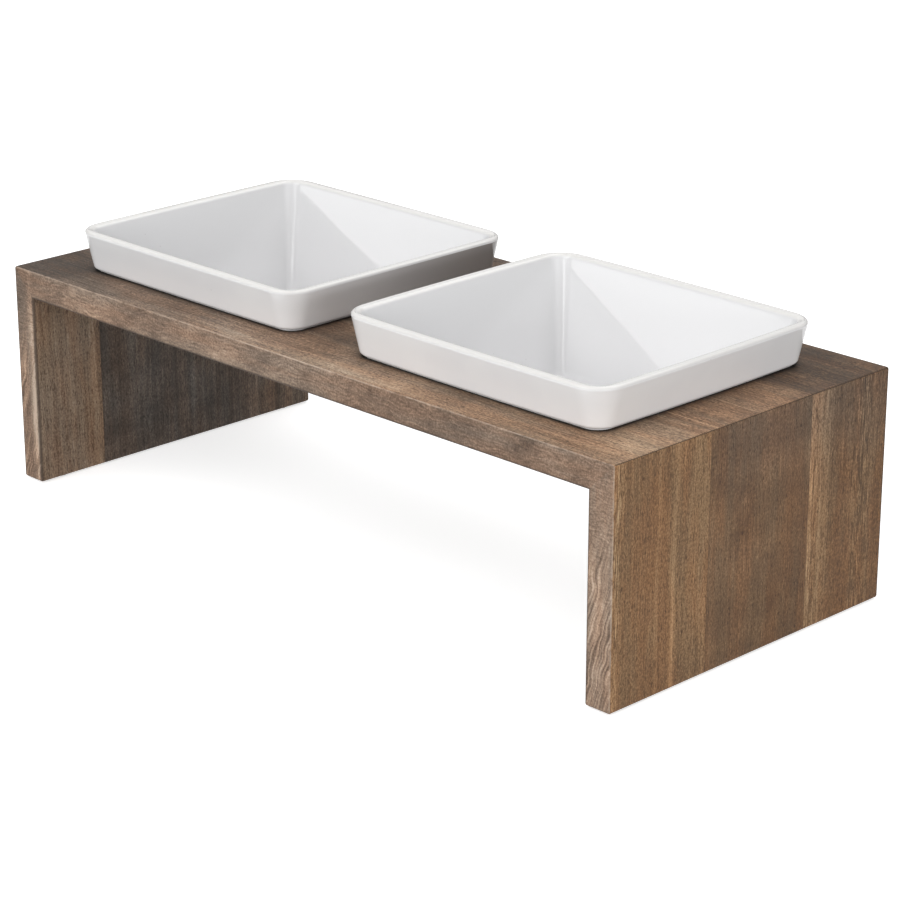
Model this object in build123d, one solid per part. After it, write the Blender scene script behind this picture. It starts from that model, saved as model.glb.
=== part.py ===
from build123d import *
import os
from math import sqrt, tan, radians

# Raised pet feeder: a mitred bench of glued-up wooden staves that carries two
# deep square porcelain bowls, each dropped through its own opening in the top.
# Millimetres, +Z up, +X along the bench. The origin is on the floor, under the
# middle of the bench; the front of the bench faces -Y.

# ---- bench ----
bench_length = 508.0
bench_depth = 229.0
panel_height = 140.0            # from the foot pads to the top face
board_thickness = 18.0
arris_radius = 1.5              # hand-sanded edges

# ---- staves, front to back; the last one of each board takes what is left ----
front_stave_width = 76.5        # top and right panel, which run round the corner
middle_stave_width = 84.0
left_front_stave_width = 51.0   # left panel, cut from another glue-up
left_middle_stave_width = 115.0

# ---- biscuits hidden in the two mitres ----
biscuit_length = 47.0
biscuit_width = 15.0
biscuit_thickness = 4.0
biscuit_curve_radius = 50.0
biscuit_from_inner_corner = 10.0
biscuit_from_end = 34.0         # middle of a biscuit to the end of the mitre
slot_end_room = 1.5
slot_depth_room = 1.0

# ---- foot pads ----
pad_diameter = 12.0
pad_thickness = 1.0
pad_inset = 20.0                # middle of a pad to the front or back edge

# ---- where the bowls sit ----
end_margin = 31.5               # end of the bench to the nearest rim
rim_gap = 41.0                  # between the two rims
front_margin = 23.0             # front of the bench to the rims

# ---- bowl: the collar above the wood ----
rim_height = 26.2               # top of the rim above the wood
rim_corner_radius = 17.5        # tightens as the collar narrows
lip_width = 5.6
lip_round = 1.4
collar_draft = 13.0             # degrees
collar_bottom_round = 2.6
seat_height = 0.8               # the seat ring holds the collar off the wood
seat_inset = 1.8                # from the collar's lower edge

# ---- bowl: the basin, hung through the opening ----
basin_depth = 66.0
basin_draft = 19.5              # degrees
basin_corner_radius = 11.0      # upright corners, inside
basin_floor_round = 5.0
wall_thickness = 3.6            # measured level
floor_thickness = 4.0
under_round = 5.0
foot_ring_width = 5.0
foot_recess_depth = 1.2

# ---- opening in the top for each bowl ----
opening_clearance = 0.7

# ---- worked out ----
base_z = pad_thickness
top_z = base_z + panel_height
underside_z = top_z - board_thickness
half_length = bench_length / 2
half_depth = bench_depth / 2
inner_face_x = half_length - board_thickness

rim_x = (bench_length - 2 * end_margin - rim_gap) / 2
rim_y = bench_depth - 2 * front_margin
bowl_centre_x = (rim_gap + rim_x) / 2
rim_z = top_z + rim_height
collar_base_z = top_z + seat_height
basin_floor_z = rim_z - basin_depth
under_z = basin_floor_z - floor_thickness


def collar_inset(z):
    """How far the collar's face stands inside the rim's outer edge."""
    return (rim_z - z) * tan(radians(collar_draft))


def basin_inset(z):
    """How far the basin's inner face stands inside the rim's outer edge."""
    return lip_width + (rim_z - z) * tan(radians(basin_draft))


def under_inset(z):
    """How far the basin's outer face stands inside the rim's outer edge."""
    return basin_inset(z) - wall_thickness


body_corner_radius = basin_corner_radius + wall_thickness
opening_inset = under_inset(top_z) - opening_clearance
opening_corner_radius = body_corner_radius + opening_clearance
cut_room = board_thickness      # how far cutting shapes run past what they cut

os.makedirs("parts", exist_ok=True)


def save(name, shape):
    """Write one sub-part under its own name."""
    shape.label = name
    export_step(shape, "parts/" + name + ".step")


# ---- shapes used more than once ----

def outline_in_rim(inset, radius, z):
    """Rounded rectangle inside the rim's outer edge, around the bowl's own axis."""
    return Pos(0, 0, z) * RectangleRounded(rim_x - 2 * inset, rim_y - 2 * inset, radius)


def straight_block(inset, radius, z_low, z_high):
    """Upright block on one rounded rectangle."""
    return extrude(outline_in_rim(inset, radius, z_low), amount=z_high - z_low)


def flared_block(inset, radius, z_high, z_low, draft):
    """Block that narrows downwards from a rectangle inside the rim, with rounded corners."""
    outline = Pos(0, 0, z_high) * Rectangle(rim_x - 2 * inset, rim_y - 2 * inset)
    block = extrude(outline, amount=z_high - z_low, dir=(0, 0, -1), taper=draft)
    return fillet(edges_at(block, (z_low + z_high) / 2), radius)


def collar_block():
    """The collar's outside, whose corners tighten as it narrows downwards."""
    outline = outline_in_rim(0, rim_corner_radius, rim_z)
    return extrude(outline, amount=rim_z - collar_base_z, dir=(0, 0, -1), taper=collar_draft)


def edges_at(shape, z):
    """Edges whose middle lies at one height."""
    return [edge for edge in shape.edges() if abs(edge.center().Z - z) < 0.01]


def slab(points, y_low, y_high):
    """Solid with an outline in X and Z, between two places along Y."""
    outline = Plane.XZ * make_face(Polyline(*points, close=True))
    return Pos(0, y_high, 0) * extrude(outline, amount=y_high - y_low)


# ---- bench: one folded board with eased edges, cut into its staves ----

def is_inner_corner(edge):
    """True for the two lines where the top meets a panel inside the bay."""
    middle = edge.center()
    at_corner = abs(abs(middle.X) - inner_face_x) < 0.01 and abs(middle.Z - underside_z) < 0.01
    return at_corner and abs(middle.Y) < 0.01


def bench_board():
    """Top and both side panels as one eased shape, with the bowl openings."""
    board = slab(
        [
            (-half_length, base_z),
            (-half_length, top_z),
            (half_length, top_z),
            (half_length, base_z),
            (inner_face_x, base_z),
            (inner_face_x, underside_z),
            (-inner_face_x, underside_z),
            (-inner_face_x, base_z),
        ],
        -half_depth,
        half_depth,
    )
    board = fillet([edge for edge in board.edges() if not is_inner_corner(edge)], arris_radius)
    opening = straight_block(
        opening_inset, opening_corner_radius, underside_z - cut_room, top_z + cut_room
    )
    for side in (-1, 1):
        board -= Pos(side * bowl_centre_x, 0, 0) * opening
    return board


def top_region(y_low, y_high):
    """The top board's space between its two mitres."""
    return slab(
        [
            (-inner_face_x, underside_z),
            (-half_length - cut_room, top_z + cut_room),
            (half_length + cut_room, top_z + cut_room),
            (inner_face_x, underside_z),
        ],
        y_low,
        y_high,
    )


def panel_region(side, y_low, y_high):
    """A side panel's space below its mitre; side is -1 for left, 1 for right."""
    return slab(
        [
            (side * inner_face_x, underside_z),
            (side * (half_length + cut_room), top_z + cut_room),
            (side * (half_length + cut_room), base_z - cut_room),
            (side * inner_face_x, base_z - cut_room),
        ],
        y_low,
        y_high,
    )


def stave_spans(front_width, middle_width):
    """Front, middle and back stretches along Y."""
    front_seam = -half_depth + front_width
    back_seam = front_seam + middle_width
    return {
        "front": (-half_depth - cut_room, front_seam),
        "middle": (front_seam, back_seam),
        "back": (back_seam, half_depth + cut_room),
    }


# ---- biscuits ----

def biscuit_blank(length, width, thickness):
    """Flat lens with blunt tips, long way along Y, width along X."""
    shift = biscuit_curve_radius - width / 2
    outline = Rectangle(width, length)
    for side in (-1, 1):
        outline &= Pos(side * shift, 0) * Circle(biscuit_curve_radius)
    return extrude(outline, amount=thickness / 2, both=True)


def in_mitre(shape, side, y):
    """Stand a flat shape across a mitre: its width crosses the joint squarely."""
    along = biscuit_from_inner_corner / sqrt(2)
    x = side * (inner_face_x + along)
    return Pos(x, y, underside_z + along) * Rot(0, side * 45, 0) * shape


# ---- bowl ----

def bowl():
    """One porcelain bowl around its own axis, at its height on the bench."""
    collar = collar_block()
    collar = fillet(edges_at(collar, collar_base_z), collar_bottom_round)
    collar = fillet(edges_at(collar, rim_z), lip_round)

    seat_edge = collar_inset(collar_base_z) + seat_inset
    seat = straight_block(
        seat_edge, rim_corner_radius - seat_edge, top_z, collar_base_z + seat_height
    )

    body = flared_block(under_inset(top_z), body_corner_radius, top_z, under_z, basin_draft)
    body = fillet(edges_at(body, under_z), under_round)

    basin = flared_block(lip_width, basin_corner_radius, rim_z, basin_floor_z, basin_draft)
    basin = fillet(edges_at(basin, basin_floor_z), basin_floor_round)

    shell = collar + seat + body - basin
    shell = fillet(inner_lip_edges(shell), lip_round)

    ring_edge = under_inset(under_z) + under_round + foot_ring_width
    recess = straight_block(
        ring_edge, body_corner_radius - foot_ring_width, under_z, under_z + foot_recess_depth
    )
    return shell - recess


def inner_lip_edges(shell):
    """The edge where the flat of the lip turns down into the basin."""
    lip_edges = edges_at(shell, rim_z)
    reach = max(edge.bounding_box().max.X for edge in lip_edges)
    return [edge for edge in lip_edges if edge.bounding_box().max.X < reach - lip_round / 4]


# ---- build the bench ----

board = bench_board()
biscuit = biscuit_blank(biscuit_length, biscuit_width, biscuit_thickness)
slot = biscuit_blank(
    biscuit_length + 2 * slot_end_room, biscuit_width + 2 * slot_depth_room, biscuit_thickness
)
last_biscuit_y = half_depth - biscuit_from_end
biscuit_places = {"front": -last_biscuit_y, "middle": 0.0, "back": last_biscuit_y}
sides = {"left": -1, "right": 1}

for side_name, side in sides.items():
    for place, y in biscuit_places.items():
        board -= in_mitre(slot, side, y)
        save("mitre_biscuit_" + side_name + "_" + place, in_mitre(biscuit, side, y))

shared_spans = stave_spans(front_stave_width, middle_stave_width)
left_spans = stave_spans(left_front_stave_width, left_middle_stave_width)

for place, span in shared_spans.items():
    stave = board & top_region(*span)
    if place == "middle":
        lengths = stave.solids().sort_by(Axis.X)
        for length_name, length in zip(("left", "centre", "right"), lengths):
            save("top_stave_middle_" + length_name, length)
    else:
        save("top_stave_" + place, stave)

for side_name, spans in (("left", left_spans), ("right", shared_spans)):
    for place, span in spans.items():
        stave = board & panel_region(sides[side_name], *span)
        save(side_name + "_panel_stave_" + place, stave)

# ---- foot pads ----

pad = Cylinder(pad_diameter / 2, pad_thickness, align=(Align.CENTER, Align.CENTER, Align.MIN))
pad_x = half_length - board_thickness / 2
pad_y = half_depth - pad_inset
for side_name, side in sides.items():
    for place, toward in (("front", -1), ("back", 1)):
        save("foot_pad_" + place + "_" + side_name, Pos(side * pad_x, toward * pad_y, 0) * pad)

# ---- bowls ----

bowl_shape = bowl()
for side_name, side in sides.items():
    save("bowl_" + side_name, Pos(side * bowl_centre_x, 0, 0) * bowl_shape)
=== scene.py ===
"""Looks of a raised pet feeder: a mitred bench of stained hardwood staves and two glazed bowls."""

import math
from collections import namedtuple

import bmesh
import bpy
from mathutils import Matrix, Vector


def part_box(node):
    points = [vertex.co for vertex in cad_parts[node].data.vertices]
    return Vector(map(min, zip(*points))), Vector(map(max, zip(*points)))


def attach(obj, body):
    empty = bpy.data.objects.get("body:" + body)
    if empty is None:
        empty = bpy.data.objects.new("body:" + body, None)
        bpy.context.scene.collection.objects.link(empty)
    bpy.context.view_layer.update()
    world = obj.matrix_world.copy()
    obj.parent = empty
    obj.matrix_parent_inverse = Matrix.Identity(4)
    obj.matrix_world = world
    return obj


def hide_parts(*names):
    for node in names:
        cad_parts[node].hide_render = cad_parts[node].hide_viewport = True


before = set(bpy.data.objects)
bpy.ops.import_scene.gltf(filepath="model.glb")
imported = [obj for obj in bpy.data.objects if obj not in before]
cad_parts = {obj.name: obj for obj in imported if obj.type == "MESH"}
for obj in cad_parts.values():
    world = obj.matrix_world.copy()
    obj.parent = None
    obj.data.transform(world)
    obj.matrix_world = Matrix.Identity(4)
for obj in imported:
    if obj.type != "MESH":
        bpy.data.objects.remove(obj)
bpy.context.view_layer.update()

MM = 0.001
FRAME_PIXELS = 900

# ---- places taken from the frame, in metres ----
BENCH_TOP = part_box("top_stave_front")[1].z
BENCH_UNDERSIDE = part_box("top_stave_front")[0].z
BENCH_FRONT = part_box("top_stave_front")[0].y
BENCH_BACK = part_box("top_stave_back")[1].y
BENCH_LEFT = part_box("left_panel_stave_front")[0].x
BENCH_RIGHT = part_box("right_panel_stave_front")[1].x
SEAMS = {
    "top": (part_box("top_stave_front")[1].y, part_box("top_stave_back")[0].y),
    "right": (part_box("right_panel_stave_front")[1].y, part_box("right_panel_stave_back")[0].y),
    "left": (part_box("left_panel_stave_front")[1].y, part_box("left_panel_stave_back")[0].y),
}


# ---- node graphs ----

class Graph:
    """The node tree of one material, built by short calls that return output sockets."""

    def __init__(self, name):
        self.material = bpy.data.materials.new(name)
        self.material.use_nodes = True
        self.tree = self.material.node_tree
        self.tree.nodes.clear()
        self.output = self.tree.nodes.new("ShaderNodeOutputMaterial")

    def node(self, kind, inputs=(), **settings):
        made = self.tree.nodes.new(kind)
        for name, value in settings.items():
            setattr(made, name, value)
        for name, value in dict(inputs).items():
            self.put(made.inputs[name], value)
        return made

    def put(self, socket, value):
        """Link a socket to an input, or set the input to a plain value."""
        if isinstance(value, bpy.types.NodeSocket):
            self.tree.links.new(value, socket)
        elif socket.type == "RGBA":
            socket.default_value = (*value, 1.0)
        else:
            socket.default_value = value

    def math(self, operation, *values):
        made = self.node("ShaderNodeMath", operation=operation)
        for socket, value in zip(made.inputs, values):
            self.put(socket, value)
        return made.outputs[0]

    def add(self, *values):
        total = values[0]
        for value in values[1:]:
            total = self.math("ADD", total, value)
        return total

    def times(self, *values):
        total = values[0]
        for value in values[1:]:
            total = self.math("MULTIPLY", total, value)
        return total

    def step(self, value, start, end, low=0.0, high=1.0):
        """Smooth step of value from low at start to high at end."""
        made = self.node("ShaderNodeMapRange", interpolation_type="SMOOTHSTEP")
        for name, number in zip(("Value", "From Min", "From Max", "To Min", "To Max"),
                                (value, start, end, low, high)):
            self.put(made.inputs[name], number)
        return made.outputs["Result"]

    def hill(self, value, centre, width):
        """A soft hill of height one at centre, down to a third at one width away."""
        away = self.math("DIVIDE", self.math("SUBTRACT", value, centre), width)
        return self.math("EXPONENT", self.times(away, away, -1.0))

    def length(self, first, second):
        """Length of a flat vector from its two parts."""
        return self.math("SQRT", self.add(self.times(first, first), self.times(second, second)))

    def patch(self, across, along, shape):
        """A soft oval hill: its two places, its two reaches and its height."""
        centre_across, centre_along, reach_across, reach_along, lift = shape
        return self.times(
            self.hill(across, centre_across, reach_across),
            self.hill(along, centre_along, reach_along), lift)

    def blend(self, factor, first, second):
        """Between two numbers, by factor."""
        made = self.node("ShaderNodeMix", data_type="FLOAT")
        for socket, value in zip(made.inputs, (factor, None, first, second)):
            if value is not None:
                self.put(socket, value)
        return made.outputs[0]

    def grey(self, colour):
        return self.node("ShaderNodeRGBToBW", {"Color": colour}).outputs[0]

    def vector(self, x, y, z):
        return self.node("ShaderNodeCombineXYZ", {"X": x, "Y": y, "Z": z}).outputs[0]

    def scaled(self, vector, factors, offset=(0.0, 0.0, 0.0)):
        """A vector times factors, part by part, and then moved by offset."""
        made = self.node("ShaderNodeVectorMath", operation="MULTIPLY_ADD")
        self.put(made.inputs[0], vector)
        self.put(made.inputs[1], factors)
        self.put(made.inputs[2], offset)
        return made.outputs[0]

    def noise(self, vector, scale=1.0, detail=2.0, roughness=0.5):
        return self.node("ShaderNodeTexNoise", {
            "Vector": vector, "Scale": scale, "Detail": detail, "Roughness": roughness,
        }).outputs["Fac"]

    def mix(self, factor, first, second, blend="MIX"):
        made = self.node("ShaderNodeMix", data_type="RGBA", blend_type=blend)
        self.put(made.inputs[0], factor)
        self.put(made.inputs[6], first)
        self.put(made.inputs[7], second)
        return made.outputs[2]

    def ramp(self, value, stops):
        made = self.node("ShaderNodeValToRGB", {"Fac": value})
        points = made.color_ramp.elements
        while len(points) < len(stops):
            points.new(0.5)
        for point, (place, colour) in zip(points, stops):
            point.position = place
            point.color = (*colour, 1.0)
        return made.outputs["Color"]

    def position(self):
        """Place on the object, which at rest is the place in the frame."""
        return self.node("ShaderNodeTexCoord").outputs["Object"]

    def split(self, vector):
        made = self.node("ShaderNodeSeparateXYZ", {"Vector": vector})
        return made.outputs["X"], made.outputs["Y"], made.outputs["Z"]

    def bump(self, height, distance):
        inputs = {"Height": height, "Distance": distance, "Strength": 1.0}
        return self.node("ShaderNodeBump", inputs).outputs["Normal"]

    def surface(self, **inputs):
        """Finish the material with a principled shader, its inputs named with underscores."""
        named = {name.replace("_", " "): value for name, value in inputs.items()}
        shader = self.node("ShaderNodeBsdfPrincipled", named)
        self.tree.links.new(shader.outputs[0], self.output.inputs["Surface"])
        return self.material


# ---- wood ----

WARM_TONES = (
    (0.00, (0.056, 0.030, 0.015)),
    (0.28, (0.128, 0.069, 0.033)),
    (0.50, (0.228, 0.127, 0.062)),
    (0.72, (0.375, 0.219, 0.108)),
    (1.00, (0.600, 0.394, 0.220)),
)
GREYED_TONES = (
    (0.00, (0.070, 0.047, 0.034)),
    (0.28, (0.145, 0.098, 0.069)),
    (0.50, (0.245, 0.166, 0.116)),
    (0.72, (0.385, 0.268, 0.189)),
    (1.00, (0.600, 0.450, 0.335)),
)
COOLER, REDDER = (0.950, 1.005, 1.045), (1.058, 0.988, 0.940)
FADED_TINT = (1.050, 1.000, 0.940)
FRONT_FADED = 0.05
WORN_EDGE = (0.560, 0.450, 0.360)
# dark of the glue lines and the mitre, and also of the painted shade along the arrises
GLUE_AND_EDGE_SHADE = (0.040, 0.028, 0.022)
TOP_GREYED = 0.40
PANEL_HIGH_FADED = 0.22         # added greyness high on the right panel, behind its front stave
SEAM_DARKNESS = 0.45
MITRE_DARKNESS = 0.75
EDGE_SHADE_DARKNESS = 0.75
KNOT_STRENGTH = 0.05
BUMP_DEPTH = 0.16 * MM
ARRIS_CORE = 0.60 * MM          # nearest that a rounded arris comes to its sharp corner
WORN_REACH = 0.95 * MM
EDGE_SHADE_REACH = 2.20 * MM
BOARD = BENCH_TOP - BENCH_UNDERSIDE

# noise drawn out along the fibres: cycles per metre along them, across them, and into the board
STREAKS = (4.0, 170.0, 150.0)
FIBRES = (24.0, 800.0, 800.0)
SHREDS = (62.0, 950.0, 950.0)
SPECKLE = (620.0, 950.0, 950.0)
TICKS = (260.0, 1150.0, 1150.0)
RIPPLE = (80.0, 14.0, 14.0)
HUE = (11.0, 75.0, 75.0)

# grain is the axis that the fibres follow. grey takes the colour out of the stain. bands are light
# growth bands across the stave, each (place on Y, half width, lift, shredding). knots are (place on
# Y, place along the grain). patches are broad paler or darker areas, each (place on Y, place along
# the grain, reach on Y, reach along, lift).
Stave = namedtuple(
    "Stave", "grain seed tone streak speckle mottle grey bands knots patches",
    defaults=((), (), ()),
)

STAVES = {
    "right_panel_stave_front": Stave(
        "Z", 1.3, 0.51, 0.12, 1.15, 0.14, 0.00,
        bands=(
            (-0.1115, 0.0045, 0.08, 1.70), (-0.0785, 0.0016, 0.11, 0.35),
            (-0.0660, 0.0018, 0.23, 0.50), (-0.0600, 0.0012, 0.05, 0.40),
            (-0.0505, 0.0045, 0.10, 0.40), (-0.0415, 0.0032, 0.10, 0.35),
        ),
        patches=(
            (-0.1115, 0.1200, 0.0050, 0.0300, 0.08), (-0.0700, 0.0100, 0.0600, 0.0300, -0.03),
        ),
    ),
    "right_panel_stave_middle": Stave(
        "Z", 7.9, 0.435, 0.08, 1.00, 0.34, 0.06,
        bands=((-0.0370, 0.0030, 0.05, 0.10),), knots=((-0.0085, 0.0905), (0.0100, 0.0470)),
        patches=(
            (0.0050, 0.1350, 0.0500, 0.0220, -0.03), (0.0460, 0.0700, 0.0300, 0.1000, -0.05),
            (-0.0090, 0.0930, 0.0030, 0.0050, 0.10), (-0.0120, 0.0760, 0.0060, 0.0030, -0.14),
        ),
    ),
    "right_panel_stave_back": Stave(
        "Z", 4.2, 0.425, 0.14, 1.10, 0.22, 0.02,
        bands=(
            (0.0510, 0.0080, 0.27, 1.15), (0.0640, 0.0060, 0.08, 0.40), (0.0930, 0.0100, 0.05, 1.60),
        ),
        patches=((0.0850, 0.1350, 0.0250, 0.0200, -0.04), (0.1120, 0.0600, 0.0080, 0.1000, -0.07)),
    ),
    "left_panel_stave_front": Stave(
        "Z", 11.7, 0.56, 0.30, 0.95, 0.24, 0.35,
        bands=((-0.0880, 0.0060, 0.10, 0.30), (-0.0680, 0.0040, 0.10, 0.40)),
    ),
    "left_panel_stave_middle": Stave("Z", 14.1, 0.31, 0.28, 1.05, 0.50, 0.70),
    "left_panel_stave_back": Stave(
        "Z", 17.6, 0.41, 0.40, 1.00, 0.26, 0.60, bands=((0.0930, 0.0060, 0.10, 1.20),),
    ),
    "top_stave_front": Stave("X", 21.4, 0.48, 0.24, 1.30, 0.36, 0.25, patches=(
        (-0.0790, 0.2380, 0.0280, 0.0450, 0.22), (-0.0900, -0.2450, 0.0900, 0.0450, -0.34),
        # the first patch on this line, dark between the bowls, is painted shade
        (-0.0740, 0.0000, 0.0200, 0.0300, -0.16), (-0.1070, 0.0600, 0.0110, 0.1400, 0.26),
    )),
    "top_stave_middle_left": Stave("X", 24.8, 0.37, 0.18, 1.20, 0.28, 0.40, patches=(
        (0.0000, -0.2450, 0.0900, 0.0400, -0.24),
    )),
    "top_stave_middle_centre": Stave("X", 27.5, 0.29, 0.16, 1.10, 0.28, 0.30),
    "top_stave_middle_right": Stave(
        "X", 30.2, 0.475, 0.24, 1.30, 0.34, 0.15,
        bands=(
            (-0.0333, 0.0005, 0.30, 0.30), (0.0030, 0.0005, 0.22, 0.30), (0.0290, 0.0005, 0.20, 0.30),
        ),
    ),
    "top_stave_back": Stave("X", 33.9, 0.39, 0.20, 1.40, 0.40, 0.35, patches=(
        # the second patch, dark in the gap behind the bowls, is painted shade
        (0.0850, 0.2350, 0.0450, 0.0450, -0.19), (0.1080, 0.0000, 0.0160, 0.0240, -0.26),
    )),
}

# Broad paler or darker areas of the front faces, each (place on X, place on Z, reach on X,
# reach on Z, lift). The first, dark at the top's left end, is painted shade; the paler ones on
# the right leg, at X 0.243 to 0.250, are a painted sheen.
FRONT_PATCHES = (
    (-0.254, 0.132, 0.018, 0.030, -0.18), (-0.178, 0.126, 0.012, 0.006, 0.10),
    (-0.136, 0.128, 0.014, 0.008, 0.08), (-0.052, 0.127, 0.018, 0.012, 0.14),
    (0.070, 0.132, 0.060, 0.030, -0.05), (0.147, 0.132, 0.035, 0.030, -0.08),
    (0.200, 0.132, 0.020, 0.030, -0.06), (0.246, 0.060, 0.020, 0.055, 0.14),
    (0.243, 0.072, 0.006, 0.008, 0.14), (0.247, 0.103, 0.004, 0.005, 0.14),
    (0.250, 0.098, 0.003, 0.012, 0.08), (0.239, 0.058, 0.003, 0.005, -0.12),
    (-0.2390, 0.060, 0.0030, 0.070, 0.48), (-0.251, 0.020, 0.008, 0.030, -0.08),
)
FRONT_SEED = (5.0, 3.1, 8.4)
FRONT_LEAN = 0.25               # sideways run of the legs' grain for each metre upwards
FRONT_SLANT = 0.90              # the same for the faint slanting figure over all of it
FRONT_TONE = 0.500
LEG_GRAIN_ENDS = (0.060, 0.118)  # heights between which the legs' grain gives way to the top's

# ring of shade on the wood round each bowl: (place off the collar's foot, width, depth)
SOFT_SHADE = (-0.5 * MM, 5.0 * MM, -0.50)
CONTACT_LINE = (-0.3 * MM, 1.1 * MM, -0.93)


class Wood:
    """The grain fields of one stave, laid out along its fibres, and the looks that they add up to."""

    def __init__(self, graph, stave, board):
        self.graph = graph
        self.stave = stave
        self.board = board
        self.seed = (stave.seed, stave.seed * 1.7, stave.seed * 0.6)
        self.place = graph.position()
        self.x, self.y, self.z = graph.split(self.place)
        self.along, through = (self.x, self.z) if stave.grain == "X" else (self.z, self.x)
        drift = graph.noise(graph.vector(
            graph.times(self.along, 7.0), graph.times(self.y, 16.0), stave.seed))
        self.across = graph.add(self.y, self.centred(drift, 0.008))
        self.fibre = graph.vector(self.along, self.across, through)
        self.streaks = self.field(STREAKS, detail=4.0, roughness=0.62)
        self.fibres = self.field(FIBRES, detail=2.0)
        self.shreds = self.field(SHREDS, detail=2.0, roughness=0.6)
        self.speckle = self.field(SPECKLE, detail=2.0, roughness=0.7)
        self.ticks = self.field(TICKS, detail=1.0)
        self.ripple = self.field(RIPPLE, detail=2.0)
        self.mottle = self.spread(46.0, self.seed, detail=4.0, roughness=0.6)
        self.cloud = self.spread(15.0, self.seed, detail=2.0)
        self.hue = self.field(HUE, detail=3.0, roughness=0.6)
        self.on_front = graph.step(self.y, BENCH_FRONT + 0.2 * MM, BENCH_FRONT + 1.0 * MM, 1.0, 0.0)

    def field(self, scale, detail, roughness=0.5):
        """Noise stretched along the fibres."""
        stretched = self.graph.scaled(self.fibre, scale, self.seed)
        return self.graph.noise(stretched, detail=detail, roughness=roughness)

    def spread(self, scale, seed, detail, roughness=0.5):
        """Noise that is alike in every direction."""
        placed = self.graph.scaled(self.place, (scale,) * 3, seed)
        return self.graph.noise(placed, detail=detail, roughness=roughness)

    def centred(self, value, strength):
        return self.graph.times(self.graph.math("SUBTRACT", value, 0.5), strength)

    def tone(self):
        """Darkness or paleness of the stained wood, on the boards' faces and on their front edges."""
        return self.graph.blend(self.on_front, self.face_tone(), self.front_tone())

    def face_tone(self):
        """Streaks, fibres and speckle, with the stave's own bands, knots and patches over them."""
        graph, stave = self.graph, self.stave
        tone = graph.add(
            stave.tone,
            self.centred(self.streaks, stave.streak * 2.0),
            self.centred(self.fibres, stave.speckle * 0.40),
            self.centred(self.speckle, stave.speckle * 0.90),
            self.centred(self.ripple, stave.mottle * 0.5),
            self.centred(self.mottle, stave.mottle * 1.1),
            self.centred(self.cloud, stave.mottle * 1.1),
            graph.times(graph.step(self.ticks, 0.56, 0.70), -0.26 * stave.speckle),
        )
        broken = graph.step(self.streaks, 0.30, 0.60, 0.60, 1.20)
        for centre, width, lift, shredding in stave.bands:
            lifted = graph.add(graph.times(broken, lift), self.centred(self.shreds, shredding))
            tone = graph.add(tone, graph.times(graph.hill(self.across, centre, width), lifted))
        for knot in stave.knots:
            tone = graph.add(tone, graph.times(self.knot_rings(knot), KNOT_STRENGTH))
        for patch in stave.patches:
            tone = graph.add(tone, graph.patch(self.y, self.along, patch))
        return tone

    def front_tone(self):
        """One pattern that runs on from the top's front edge down the legs."""
        graph = self.graph
        speckle = self.spread(820.0, FRONT_SEED, detail=2.0, roughness=0.7)
        mottle = self.spread(150.0, FRONT_SEED, detail=3.0, roughness=0.6)
        cloud = self.spread(38.0, FRONT_SEED, detail=2.0)
        wander = self.centred(self.spread(60.0, FRONT_SEED, detail=1.0), 0.008)
        leaning = graph.add(self.x, graph.times(self.z, -FRONT_LEAN), wander)
        upright = self.front_noise(leaning, self.z, 620.0, 30.0)
        lengthwise = self.front_noise(graph.add(self.z, wander), self.x, 800.0, 90.0)
        slanted = graph.add(self.x, graph.times(self.z, -FRONT_SLANT))
        slanting = self.front_noise(slanted, self.z, 48.0, 18.0)
        on_leg = graph.step(self.z, *LEG_GRAIN_ENDS, 1.0, 0.0)
        tone = graph.add(
            FRONT_TONE,
            self.centred(speckle, 0.85),
            self.centred(mottle, 0.30),
            self.centred(cloud, 0.20),
            graph.times(self.centred(upright, 1.75), on_leg),
            graph.times(self.centred(lengthwise, 0.80), graph.math("SUBTRACT", 1.0, on_leg)),
            self.centred(slanting, 0.42),
        )
        for patch in FRONT_PATCHES:
            tone = graph.add(tone, graph.patch(self.x, self.z, patch))
        return tone

    def front_noise(self, across, along, across_scale, along_scale):
        """Noise on the front faces, fine one way and drawn out the other."""
        graph = self.graph
        placed = graph.vector(
            graph.times(across, across_scale), graph.times(along, along_scale), FRONT_SEED[0])
        return graph.noise(placed, detail=3.0)

    def knot_rings(self, knot):
        """Faint rings round a small closed knot, fading out over a few centimetres."""
        graph = self.graph
        reach, ring_gap, slimness = 0.014, 0.0011, 0.6
        away = graph.length(
            graph.math("SUBTRACT", self.y, knot[0]),
            graph.times(graph.math("SUBTRACT", self.along, knot[1]), slimness))
        uneven = graph.add(away, self.centred(self.mottle, 0.010))
        rings = graph.math("SINE", graph.math("DIVIDE", uneven, ring_gap))
        return graph.times(rings, graph.step(away, 0.0, reach, 1.0, 0.0))

    def greyness(self):
        """How far the stain has lost its colour: most at the top's left end and high on the panel."""
        graph = self.graph
        faded = graph.times(graph.step(self.cloud, 0.36, 0.66, 0.80, 1.10), self.stave.grey)
        if self.board == "top":
            faded = graph.times(faded, graph.step(self.x, BENCH_LEFT, BENCH_RIGHT, 1.7, 0.2))
        elif self.board == "right":
            towards_back = graph.step(self.y, -0.045, -0.015)
            high_up = graph.step(self.z, 0.075, 0.140, 0.0, PANEL_HIGH_FADED)
            faded = graph.add(faded, graph.times(high_up, towards_back))
        return graph.blend(self.on_front, faded, FRONT_FADED)

    def arrises(self, pairs, reach):
        """One along the arrises between pairs of faces, each face a (coordinate, place)."""
        graph = self.graph
        along = 0.0
        for first, second in pairs:
            away = graph.length(graph.math("SUBTRACT", *first), graph.math("SUBTRACT", *second))
            near = graph.step(away, ARRIS_CORE, reach, 1.0, 0.0)
            along = graph.math("MAXIMUM", along, near)
        return along

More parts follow.
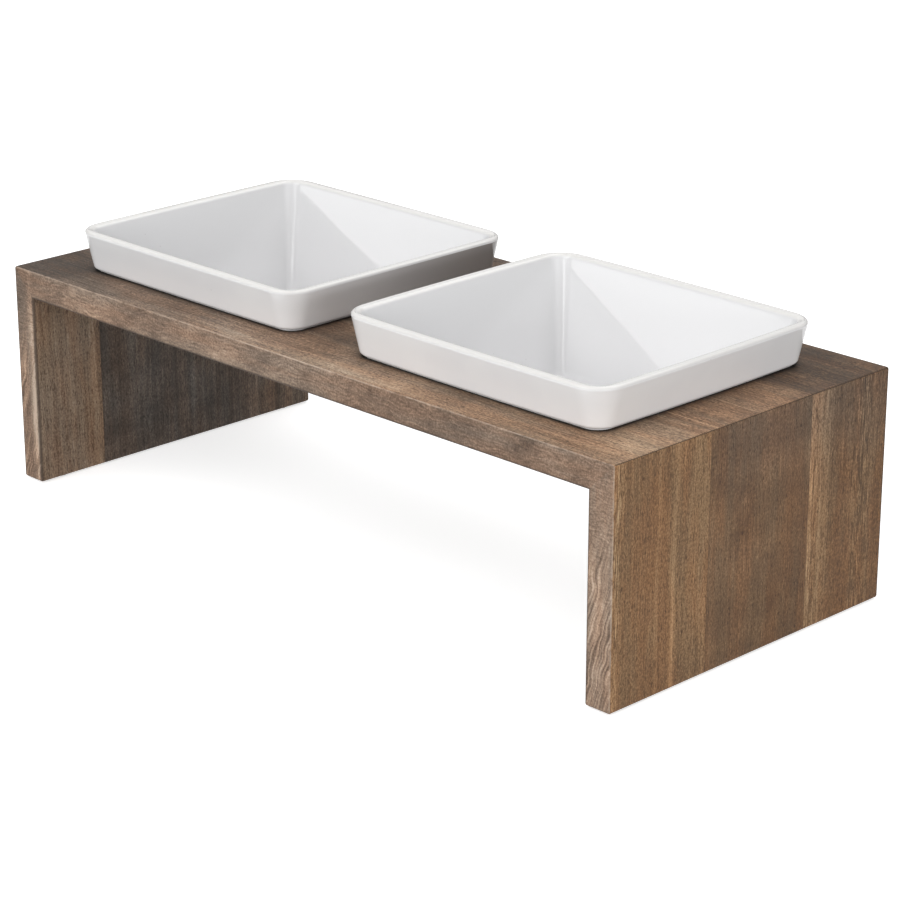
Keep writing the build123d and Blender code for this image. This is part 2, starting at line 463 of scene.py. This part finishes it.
    def rubbed_edges(self):
        """Front arrises worn paler in a thin uneven line, most along the middle of the top's."""
        graph = self.graph
        front = (self.y, BENCH_FRONT)
        if self.board == "left":
            return 0.0
        worn = 0.50
        edge = (self.x, BENCH_RIGHT)
        if self.board == "top":
            worn = graph.add(0.42, graph.times(graph.hill(self.x, 0.02, 0.09), 0.30))
            edge = (self.z, BENCH_TOP)
        patchy = self.spread(140.0, self.seed, detail=5.0, roughness=0.75)
        return graph.times(
            self.arrises([(front, edge)], WORN_REACH), graph.step(patchy, 0.32, 0.56), worn)

    def shaded_edges(self):
        """The other arrises in sight, darkened as painted shade."""
        front, back = (self.y, BENCH_FRONT), (self.y, BENCH_BACK)
        left, right, top = (self.x, BENCH_LEFT), (self.x, BENCH_RIGHT), (self.z, BENCH_TOP)
        pairs = {
            "top": [(top, back), (top, left), (front, (self.z, BENCH_UNDERSIDE))],
            "left": [(left, front), (front, (self.x, BENCH_LEFT + BOARD))],
            "right": [(right, back), (front, (self.x, BENCH_RIGHT - BOARD))],
        }
        return self.graph.times(self.arrises(pairs[self.board], EDGE_SHADE_REACH), EDGE_SHADE_DARKNESS)

    def mitre_line(self):
        """A thin dark line along the outer corner, where the mitred boards meet behind the front."""
        graph = self.graph
        out = graph.math("SUBTRACT", graph.math("ABSOLUTE", self.x), BENCH_RIGHT)
        up = graph.math("SUBTRACT", self.z, BENCH_TOP)
        off_joint = graph.math("ABSOLUTE", graph.math("SUBTRACT", out, up))
        behind = graph.step(self.y, BENCH_FRONT + 0.5 * MM, BENCH_FRONT + 2.0 * MM)
        return graph.times(graph.step(off_joint, 0.25 * MM, 0.60 * MM, 1.0, 0.0), behind)

    def seam_line(self, seams):
        """A thin dark line of glue along each seam between staves."""
        graph = self.graph
        line = 0.0
        for seam in seams:
            away = graph.math("ABSOLUTE", graph.math("SUBTRACT", self.y, seam))
            near = graph.step(away, 0.10 * MM, 0.50 * MM, SEAM_DARKNESS, 0.0)
            line = graph.math("MAXIMUM", line, near)
        return line


def past_edge(graph, place, edge):
    """How far a place lies outside an edge on either side of the middle, or nothing inside it."""
    return graph.math("MAXIMUM", graph.math("SUBTRACT", graph.math("ABSOLUTE", place), edge), 0.0)


def ring_of_shade(graph, away, ring):
    """What is left of the light in a soft ring, given as (place, width, depth)."""
    centre, width, depth = ring
    return graph.add(1.0, graph.times(graph.hill(away, centre, width), depth))


def bowl_shade(graph, wood):
    """Wood darkened in a ring round the bowls' collars, darkest where these nearly meet it.

    It is painted on the wood, so it stays there when a bowl is lifted."""
    low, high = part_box("bowl_right")
    narrowing = (high.z - BENCH_TOP) * math.tan(COLLAR_DRAFT)
    corner = RIM_CORNER - narrowing
    half_x = (high.x - low.x) / 2 - narrowing - corner
    half_y = (high.y - low.y) / 2 - narrowing - corner
    from_axis = graph.math("SUBTRACT", graph.math("ABSOLUTE", wood.x), (low.x + high.x) / 2)
    past_x = past_edge(graph, from_axis, half_x)
    past_y = past_edge(graph, wood.y, half_y)
    away = graph.math("SUBTRACT", graph.length(past_x, past_y), corner)
    soft = ring_of_shade(graph, away, SOFT_SHADE)
    return graph.times(soft, ring_of_shade(graph, away, CONTACT_LINE))


def wood_material(name, stave):
    """Stained open-grained hardwood, with its fibres along the stave."""
    board = name.split("_")[0]
    graph = Graph(name + "_wood")
    wood = Wood(graph, stave, board)
    tone = wood.tone()
    greyed = TOP_GREYED if board == "top" else 0.0
    greyed = graph.blend(wood.on_front, greyed, 1.0)
    colour = graph.mix(greyed, graph.ramp(tone, WARM_TONES), graph.ramp(tone, GREYED_TONES))
    faded = graph.scaled(graph.grey(colour), FADED_TINT)
    colour = graph.mix(wood.greyness(), colour, faded)
    hue = graph.mix(graph.step(wood.hue, 0.36, 0.64), COOLER, REDDER)
    colour = graph.mix(1.0, colour, hue, blend="MULTIPLY")
    colour = graph.mix(wood.seam_line(SEAMS[board]), colour, GLUE_AND_EDGE_SHADE)
    colour = graph.mix(graph.times(wood.mitre_line(), MITRE_DARKNESS), colour, GLUE_AND_EDGE_SHADE)
    colour = graph.mix(wood.rubbed_edges(), colour, WORN_EDGE)
    # painted shade along the arrises at the back and left, under the top's front and on the legs' inner
    # edges
    colour = graph.mix(wood.shaded_edges(), colour, GLUE_AND_EDGE_SHADE)
    if board == "top":
        shade = bowl_shade(graph, wood)
        colour = graph.mix(1.0, colour, graph.vector(shade, shade, shade), blend="MULTIPLY")
    height = graph.add(
        graph.times(wood.fibres, 0.5), graph.times(wood.speckle, 0.6), graph.times(wood.streaks, 0.6))
    matt = graph.add(graph.times(wood.speckle, 0.6), graph.times(wood.mottle, 0.4))
    return graph.surface(
        Base_Color=colour,
        Roughness=graph.step(matt, 0.3, 0.7, 0.50, 0.68),
        Specular_IOR_Level=0.20,
        Normal=graph.bump(height, BUMP_DEPTH),
    )


def dress_staves():
    for name, stave in STAVES.items():
        dress(name, wood_material(name, stave))


def dress(name, material):
    """Give a solid of the frame one material."""
    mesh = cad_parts[name].data
    mesh.materials.clear()
    mesh.materials.append(material)


# ---- hidden beech biscuits and rubber foot pads ----

def beech_material():
    """Pressed beech, pale, with short flecks."""
    graph = Graph("pressed_beech")
    place = graph.position()
    flecks = graph.noise(graph.scaled(place, (900.0, 240.0, 900.0)), detail=3.0)
    shade = graph.noise(place, scale=60.0)
    tone = graph.add(graph.times(flecks, 0.7), graph.times(shade, 0.3))
    colour = graph.ramp(tone, (
        (0.3, (0.36, 0.22, 0.12)), (0.5, (0.52, 0.35, 0.21)), (0.7, (0.66, 0.48, 0.32)),
    ))
    return graph.surface(Base_Color=colour, Roughness=0.7, Normal=graph.bump(flecks, 0.1 * MM))


def rubber_material():
    """Dark moulded rubber with a fine matt texture."""
    graph = Graph("pad_rubber")
    place = graph.position()
    grain = graph.noise(place, scale=2600.0, detail=2.0)
    dust = graph.noise(place, scale=300.0, detail=3.0)
    colour = graph.ramp(dust, ((0.35, (0.018, 0.018, 0.019)), (0.75, (0.050, 0.049, 0.048))))
    return graph.surface(Base_Color=colour, Roughness=0.82, Normal=graph.bump(grain, 0.06 * MM))


def dress_small_nodes():
    beech, rubber = beech_material(), rubber_material()
    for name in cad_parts:
        if name.startswith("mitre_biscuit"):
            dress(name, beech)
        elif name.startswith("foot_pad"):
            dress(name, rubber)


# ---- porcelain bowls ----

COLLAR_DRAFT = math.radians(13.0)
BASIN_DRAFT = math.radians(22.0)
BODY_DRAFT = math.radians(19.5)
LIP_WIDTH = 6.6 * MM
LIP_OUTER_ROUND = 1.7 * MM
LIP_INNER_ROUND = 3.4 * MM
COLLAR_BOTTOM_ROUND = 2.6 * MM
SEAT_HEIGHT = 0.8 * MM
SEAT_INSET = 2.4 * MM
WALL = 3.6 * MM
FLOOR_THICKNESS = 4.0 * MM
FLOOR_ROUND = 5.0 * MM
UNDER_ROUND = 5.0 * MM
FOOT_RING = 5.0 * MM
FOOT_RECESS = 1.2 * MM
RIM_CORNER = 17.5 * MM
BASE_CORNER = 14.6 * MM
BASIN_CORNER = 9.0 * MM
FLOOR_CORNER = 5.0 * MM
EDGE_OUTSIDE_BOX = 0.36 * MM    # the lip's sharp edge, before it is rounded
ARC_STEPS = 7
CORNER_STEPS = 12
SIDE_STEPS = 14
GUARD = 0.4 * MM                # how near the ends of a flat stretch its extra points stand
CROWN = {"bowl_left": 0.5 * MM, "bowl_right": 1.2 * MM}    # how far the rim's sides bow outwards

Turn = namedtuple("Turn", "inset height round corner crown")


def bowl_section(rim_z, under_z, wood_top, crown):
    """Turns of the bowl's wall in section: from under its middle, out, up over the lip and back down."""
    def collar(z):
        return (rim_z - z) * math.tan(COLLAR_DRAFT)

    def body(z):
        return LIP_WIDTH + (rim_z - z) * math.tan(BODY_DRAFT) - WALL

    seat_z = wood_top + SEAT_HEIGHT
    seat_corner = RIM_CORNER - collar(seat_z)
    floor_z = under_z + FLOOR_THICKNESS
    floor_inset = LIP_WIDTH + (rim_z - floor_z) * math.tan(BASIN_DRAFT)
    foot = body(under_z) + UNDER_ROUND + FOOT_RING
    return (
        Turn(foot + 2 * FOOT_RING, under_z + FOOT_RECESS, 0.0, BASE_CORNER, 0.0),
        Turn(foot, under_z + FOOT_RECESS, 0.8 * MM, BASE_CORNER, 0.0),
        Turn(foot, under_z, 0.5 * MM, BASE_CORNER, 0.0),
        Turn(body(under_z), under_z, UNDER_ROUND, BASE_CORNER, 0.0),
        Turn(body(wood_top), wood_top, 0.0, BASE_CORNER, 0.0),
        Turn(collar(seat_z) + SEAT_INSET, wood_top, 0.2 * MM, seat_corner - SEAT_INSET, crown),
        Turn(collar(seat_z) + SEAT_INSET, seat_z, 0.0, seat_corner - SEAT_INSET, crown),
        Turn(collar(seat_z), seat_z, COLLAR_BOTTOM_ROUND, seat_corner, crown),
        Turn(0.0, rim_z, LIP_OUTER_ROUND, RIM_CORNER, crown),
        Turn(LIP_WIDTH, rim_z, LIP_INNER_ROUND, BASIN_CORNER, crown),
        Turn(floor_inset, floor_z, FLOOR_ROUND, FLOOR_CORNER, 0.3 * crown),
        Turn(floor_inset + 3 * FLOOR_ROUND, floor_z, 0.0, FLOOR_CORNER, 0.0),
    )


def rounded_turn(before, turn, after):
    """Points of one turn of the section: an arc of its radius, or the sharp point itself."""
    if turn.round == 0.0:
        return [(turn.inset, turn.height, turn.corner, turn.crown)]
    here = Vector((turn.inset, turn.height))
    towards_before = (Vector((before.inset, before.height)) - here).normalized()
    towards_after = (Vector((after.inset, after.height)) - here).normalized()
    half_angle = towards_before.angle(towards_after) / 2
    centre = here + (towards_before + towards_after).normalized() * (turn.round / math.sin(half_angle))
    tangent = turn.round / math.tan(half_angle)
    start = here + towards_before * tangent - centre
    sweep = start.angle_signed(here + towards_after * tangent - centre)
    points = []
    for step in range(ARC_STEPS + 1):
        angle = -sweep * step / ARC_STEPS
        turned = Vector((
            start.x * math.cos(angle) - start.y * math.sin(angle),
            start.x * math.sin(angle) + start.y * math.cos(angle),
        ))
        points.append((centre.x + turned.x, centre.y + turned.y, turn.corner, turn.crown))
    return points


def section_points(turns):
    """The turns' points, with a guard point at each end of the straight stretches between them."""
    points = []
    for index, turn in enumerate(turns):
        before = turns[max(index - 1, 0)]
        after = turns[min(index + 1, len(turns) - 1)]
        arc = rounded_turn(before, turn, after)
        if points:
            points += guards(points[-1], arc[0])
        points += arc
    return points


def guards(start, end):
    """Two points just inside a straight stretch, which keep its middle flat when it is shaded."""
    length = math.hypot(end[0] - start[0], end[1] - start[1])
    if length < 3 * GUARD:
        return []
    return [
        tuple(a + (b - a) * share for a, b in zip(start, end))
        for share in (GUARD / length, 1 - GUARD / length)
    ]


def crowned(place, half, other, other_half, crown):
    """A place moved outwards, by crown at the middle of a side and not at all at its ends."""
    return place * (1 + crown / half * (1 - (other / other_half) ** 2))


def plan_loop(half_x, half_y, corner, crown):
    """A rectangle with round corners and slightly crowned sides, as (x, y) points."""
    loop = []
    for quarter in range(4):
        start = quarter * math.pi / 2
        sign_x = 1 if quarter in (0, 3) else -1
        sign_y = 1 if quarter in (0, 1) else -1
        centre_x, centre_y = sign_x * (half_x - corner), sign_y * (half_y - corner)
        for step in range(CORNER_STEPS + 1):
            angle = start + step / CORNER_STEPS * math.pi / 2
            loop.append((centre_x + corner * math.cos(angle), centre_y + corner * math.sin(angle)))
        next_sign_x = 1 if quarter in (2, 3) else -1
        next_sign_y = 1 if quarter in (3, 0) else -1
        last_x, last_y = loop[-1]
        if quarter in (0, 2):
            next_x, next_y = next_sign_x * (half_x - corner), last_y
        else:
            next_x, next_y = last_x, next_sign_y * (half_y - corner)
        length = abs(next_x - last_x) + abs(next_y - last_y)
        shares = [step / SIDE_STEPS for step in range(1, SIDE_STEPS)]
        for share in [GUARD / length, *shares, 1 - GUARD / length]:
            loop.append((last_x + (next_x - last_x) * share, last_y + (next_y - last_y) * share))
    return [(crowned(x, half_x, y, half_y, crown), crowned(y, half_y, x, half_x, crown)) for x, y in loop]


def bowl_mesh(name, node):
    """The whole bowl as one closed skin of loops, lofted along its section."""
    low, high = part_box(node)
    centre = (low + high) / 2
    half_x = (high.x - low.x) / 2 + EDGE_OUTSIDE_BOX
    half_y = (high.y - low.y) / 2 + EDGE_OUTSIDE_BOX
    points = section_points(bowl_section(high.z, low.z, BENCH_TOP, CROWN[node]))
    shape = bmesh.new()
    rings = []
    for inset, height, corner, crown in points:
        loop = plan_loop(half_x - inset, half_y - inset, corner, crown)
        rings.append([shape.verts.new((centre.x + x, centre.y + y, height)) for x, y in loop])
    for lower, upper in zip(rings, rings[1:]):
        for index in range(len(lower)):
            following = (index + 1) % len(lower)
            shape.faces.new((lower[index], lower[following], upper[following], upper[index]))
    shape.faces.new(reversed(rings[0]))
    shape.faces.new(rings[-1])
    bmesh.ops.recalc_face_normals(shape, faces=shape.faces)
    mesh = bpy.data.meshes.new(name)
    shape.to_mesh(mesh)
    shape.free()
    for face in mesh.polygons:
        face.use_smooth = True
    return mesh


GLAZE_CLOUDS = ((0.830, 0.833, 0.845), (0.860, 0.865, 0.872))
# painted light: the outside lighter low down, where the wood beside it shades it
OUTSIDE_LOW_PAINTED_LIGHT = (0.930, 0.926, 0.935)
# painted shade on the faces that turn up, inside and on the lip, darker than the outside; painted light
# deep in the basin, lighter towards its floor
INSIDE_HIGH_PAINTED_SHADE, INSIDE_LOW_PAINTED_LIGHT = (0.732, 0.732, 0.738), (0.798, 0.795, 0.802)
THIN_AT_LIP = (0.745, 0.732, 0.715)
IRON_SPECK = (0.33, 0.31, 0.29)
BARE_FOOT = (0.62, 0.58, 0.52)
LEFT_BOWL_SHADE = 0.960                    # the left bowl's glaze, painted a little darker than the right one's as shade
BETWEEN_BOWLS = (0.340, 0.318, 0.310)  # painted shade where the left bowl faces the right one
AISLE = 5.0 * MM                      # half width of the blend between the two bowls' glazes


def porcelain_material():
    """White glaze over a vitrified body: warm and thin at the lip, bare and matt under the foot, with
    light and shade painted into the glaze.
    """
    graph = Graph("glazed_porcelain")
    place = graph.position()
    x, y, z = graph.split(place)
    low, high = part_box("bowl_left")
    rim_z, under_z = high.z, low.z
    tint = graph.noise(place, scale=26.0, detail=2.0)
    clouds = graph.mix(graph.step(tint, 0.35, 0.65), *GLAZE_CLOUDS)
    # painted light on the outside, lighter towards the wood
    outside = graph.mix(graph.step(z, rim_z - 8.0 * MM, rim_z - 30.0 * MM), clouds, OUTSIDE_LOW_PAINTED_LIGHT)
    # painted shade high inside, lightening as painted light towards the floor against the basin's own
    # shade
    inside = graph.mix(graph.step(z, rim_z - 6.0 * MM, rim_z - 48.0 * MM), INSIDE_HIGH_PAINTED_SHADE, INSIDE_LOW_PAINTED_LIGHT)
    towards_right, _, upwards = graph.split(graph.node("ShaderNodeNewGeometry").outputs["Normal"])
    # faces that turn upwards take the darker inside colours: painted shade
    glaze = graph.mix(graph.step(upwards, 0.05, 0.25), outside, inside)
    between_bowls = graph.times(
        graph.step(x, -AISLE, AISLE, 1.0, 0.0),
        graph.step(towards_right, 0.60, 0.95),
        graph.step(upwards, -0.10, 0.05, 1.0, 0.0),
        graph.step(z, BENCH_TOP - 1.0 * MM, BENCH_TOP + 1.0 * MM),
        graph.step(y, low.y, high.y))
    glaze = graph.mix(between_bowls, glaze, BETWEEN_BOWLS)
    # painted shade: the whole left bowl a little darker than the right one
    left_shade = graph.step(x, -AISLE, AISLE, LEFT_BOWL_SHADE, 1.0)
    glaze = graph.mix(1.0, glaze, graph.vector(left_shade, left_shade, left_shade), blend="MULTIPLY")
    thin = graph.step(z, rim_z - 2.0 * MM, rim_z - 0.5 * MM)
    glaze = graph.mix(thin, glaze, THIN_AT_LIP)
    pits = graph.node("ShaderNodeTexVoronoi", {"Vector": place, "Scale": 75.0}).outputs["Distance"]
    speck = graph.times(graph.step(pits, 0.012, 0.026, 1.0, 0.0), 0.55)
    glaze = graph.mix(speck, glaze, IRON_SPECK)
    bare = graph.step(z, under_z + 0.2 * MM, under_z + 0.7 * MM, 1.0, 0.0)
    colour = graph.mix(bare, glaze, BARE_FOOT)
    wave = graph.noise(place, scale=19.0, detail=1.0)
    peel = graph.noise(place, scale=95.0, detail=1.0)
    height = graph.add(wave, graph.times(peel, 0.05))
    return graph.surface(
        Base_Color=colour,
        Roughness=graph.math("ADD", graph.times(bare, 0.5), 0.025),
        Normal=graph.bump(height, 0.30 * MM),
    )


def add_bowls():
    """One lofted skin for each bowl, on its own body and in place of its solid."""
    glaze = porcelain_material()
    for side in ("left", "right"):
        node, name = "bowl_" + side, side + "_porcelain_bowl"
        bowl = bpy.data.objects.new(name, bowl_mesh(name, node))
        bowl.data.materials.append(glaze)
        bpy.context.scene.collection.objects.link(bowl)
        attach(bowl, side + "_bowl")
        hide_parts(node)


# ---- studio ----

PAPER = ((0.80, 0.80, 0.80), (0.82, 0.82, 0.82))
PAPER_GLOW = 0.64                 # lifts the paper to the photograph's white
FLOOR_REACH = 7.0


def floor_material():
    """Pale matt paper sweep, faintly toothed."""
    graph = Graph("pale_floor")
    place = graph.position()
    tooth = graph.noise(place, scale=220.0, detail=2.0)
    shade = graph.noise(place, scale=1.2, detail=1.0)
    toothed = graph.add(shade, graph.times(tooth, 0.1))
    colour = graph.mix(graph.step(toothed, 0.3, 0.9), *PAPER)
    return graph.surface(
        Base_Color=colour, Roughness=0.9, Specular_IOR_Level=0.2,
        Emission_Color=(1.0, 1.0, 1.0), Emission_Strength=PAPER_GLOW,
    )


def add_floor():
    """A plain pale floor, seen in reflections but throwing no diffuse light on the feeder."""
    corners = [(x * FLOOR_REACH, y * FLOOR_REACH, 0) for x, y in ((-1, -1), (1, -1), (1, 1), (-1, 1))]
    mesh = bpy.data.meshes.new("floor")
    mesh.from_pydata(corners, [], [(0, 1, 2, 3)])
    mesh.materials.append(floor_material())
    floor = bpy.data.objects.new("floor", mesh)
    floor.visible_diffuse = False
    bpy.context.scene.collection.objects.link(floor)


SKY_LOW, SKY_HIGH = 0.26, 0.55    # strength at the horizon and overhead


def add_sky():
    """A dim fill, brighter overhead, as the ceiling and walls of a studio give."""
    world = bpy.data.worlds.new("studio")
    world.use_nodes = True
    nodes, links = world.node_tree.nodes, world.node_tree.links
    direction = nodes.new("ShaderNodeTexCoord").outputs["Generated"]
    parts = nodes.new("ShaderNodeSeparateXYZ")
    rise = nodes.new("ShaderNodeMapRange")
    rise.interpolation_type = "SMOOTHSTEP"
    rise.inputs["To Min"].default_value = SKY_LOW
    rise.inputs["To Max"].default_value = SKY_HIGH
    links.new(direction, parts.inputs["Vector"])
    links.new(parts.outputs["Z"], rise.inputs["Value"])
    links.new(rise.outputs["Result"], nodes["Background"].inputs["Strength"])
    nodes["Background"].inputs["Color"].default_value = (1.0, 1.0, 1.0, 1.0)
    bpy.context.scene.world = world


# name, azimuth and elevation in degrees, distance, width and height in metres, power in watts
SOFTBOXES = (
    ("front_left", -42.5, 13.0, 1.9, 0.9, 0.5, 3.6),
    ("front", 10.0, 10.0, 1.9, 1.4, 0.8, 11.2),
    ("front_high", 20.0, 37.0, 1.9, 0.3, 0.4, 2.0),
    ("right_high", 78.0, 34.0, 1.9, 1.2, 0.8, 2.6),
    ("right", 80.0, 4.0, 1.9, 1.4, 0.5, 10.2),
    ("front_above", -20.0, 52.0, 1.9, 1.4, 1.0, 10.5),
    ("back_above", 180.0, 60.0, 2.2, 1.6, 1.2, 14.5),
    ("back_left", 225.0, 30.0, 2.6, 2.0, 1.4, 5.0),
)


def add_softbox(name, azimuth, elevation, distance, width, height, power):
    """A soft area light that looks at the middle of the feeder."""
    light = bpy.data.lights.new(name, "AREA")
    light.shape = "RECTANGLE"
    light.size, light.size_y = width, height
    light.energy = power
    a, e = math.radians(azimuth), math.radians(elevation)
    back = Vector((math.sin(a) * math.cos(e), -math.cos(a) * math.cos(e), math.sin(e)))
    lamp = bpy.data.objects.new(name, light)
    lamp.location = back * distance + Vector((0.0, 0.0, BENCH_TOP))
    lamp.rotation_mode = "QUATERNION"
    lamp.rotation_quaternion = (-back).to_track_quat("-Z", "Y")
    bpy.context.scene.collection.objects.link(lamp)


def add_camera():
    """Camera at the photograph's angle, with no shift."""
    azimuth, elevation = math.radians(45.43), math.radians(19.92)
    distance, focal_pixels = 1.772, 2920.0
    aim_right, aim_up = 13.0 * MM, 26.7 * MM
    target = Vector((0.0, 0.0, 26.4 * MM))
    back = Vector((
        math.sin(azimuth) * math.cos(elevation),
        -math.cos(azimuth) * math.cos(elevation),
        math.sin(elevation),
    ))
    right = Vector((math.cos(azimuth), math.sin(azimuth), 0.0))
    up = back.cross(right)
    camera = bpy.data.objects.new("camera", bpy.data.cameras.new("camera"))
    camera.data.sensor_width = 36.0
    camera.data.lens = focal_pixels / FRAME_PIXELS * camera.data.sensor_width
    camera.data.clip_start, camera.data.clip_end = 0.05, 50.0
    camera.rotation_mode = "QUATERNION"
    camera.rotation_quaternion = (-back).to_track_quat("-Z", "Y")
    camera.location = target + back * distance + right * aim_right + up * aim_up
    bpy.context.scene.collection.objects.link(camera)
    bpy.context.scene.camera = camera


dress_staves()
dress_small_nodes()
add_bowls()
add_floor()
add_sky()
for softbox in SOFTBOXES:
    add_softbox(*softbox)
add_camera()
bpy.context.scene.view_settings.view_transform = "Standard"
